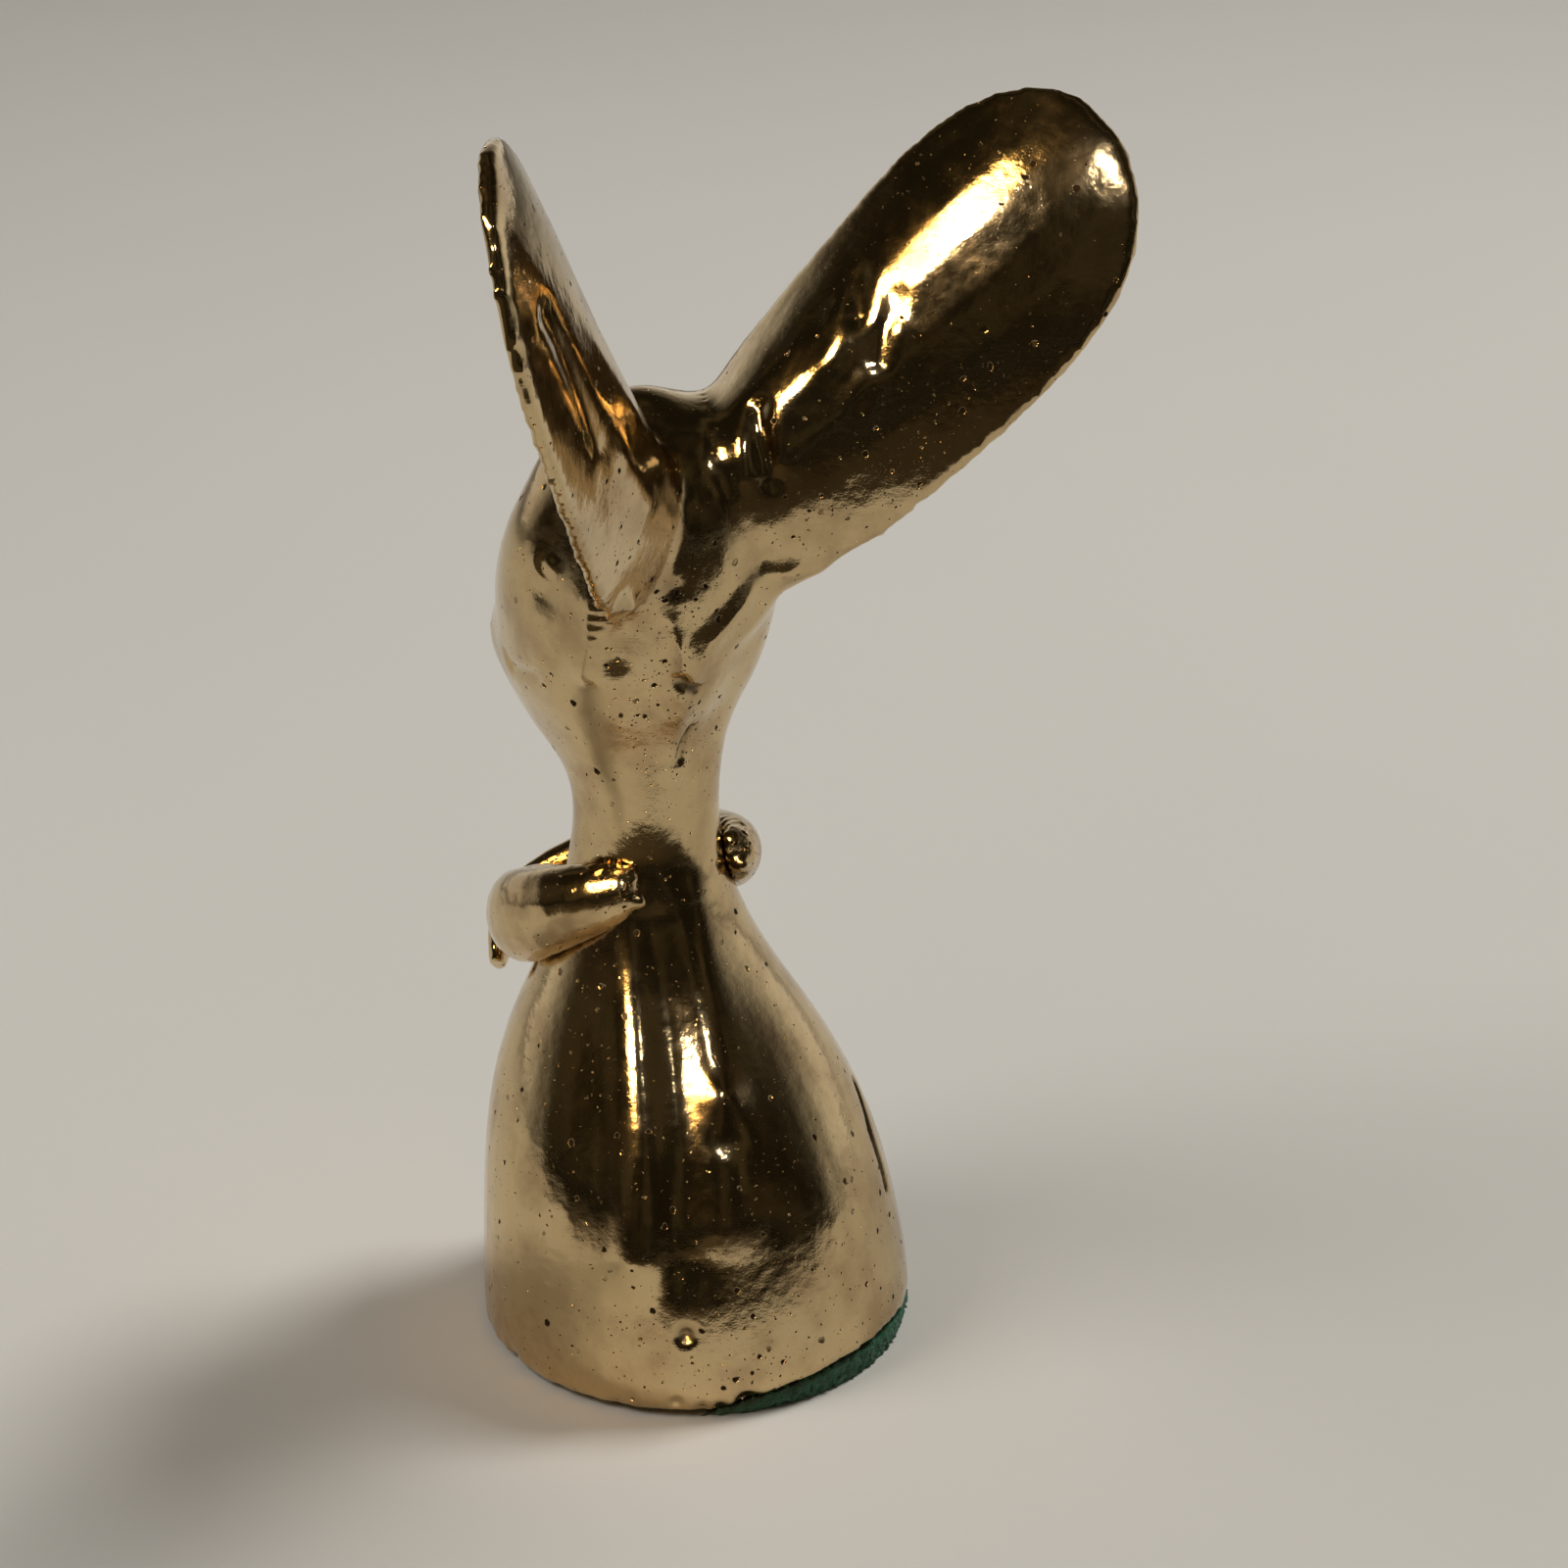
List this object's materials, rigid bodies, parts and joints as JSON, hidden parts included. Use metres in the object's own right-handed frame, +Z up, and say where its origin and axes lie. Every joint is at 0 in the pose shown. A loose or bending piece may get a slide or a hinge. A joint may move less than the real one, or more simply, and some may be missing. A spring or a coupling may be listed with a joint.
{
  "type": "hood ornament",
  "caption": "Cast brass long-eared rabbit standing on a bell-shaped body, arms folded, with a tapped bush in its foot and a green felt pad under it.",
  "frame": {"origin": "centre of the felt pad's underside, which is the face the figure stands on", "axes": "+Z up; the figure faces -Y; +X is to the figure's own left"},
  "size_m": [0.0617, 0.0409, 0.107],
  "materials": {
    "cast_brass": "cast, hand filed and polished, pitted",
    "drawn_brass": "turned",
    "green_felt": "pressed wool felt, frayed at its edge"
  },
  "bodies": {
    "root": {"bell_casting": "cast_brass", "head_casting": "cast_brass", "left_ear": "cast_brass", "right_ear": "cast_brass", "left_arm": "cast_brass", "right_arm": "cast_brass", "neck_dowel": "drawn_brass", "ear_pins": "drawn_brass", "shoulder_pins": "drawn_brass", "closing_disc": "drawn_brass", "stud_bush": "drawn_brass", "felt_pad": "green_felt"}
  },
  "joints": []
}
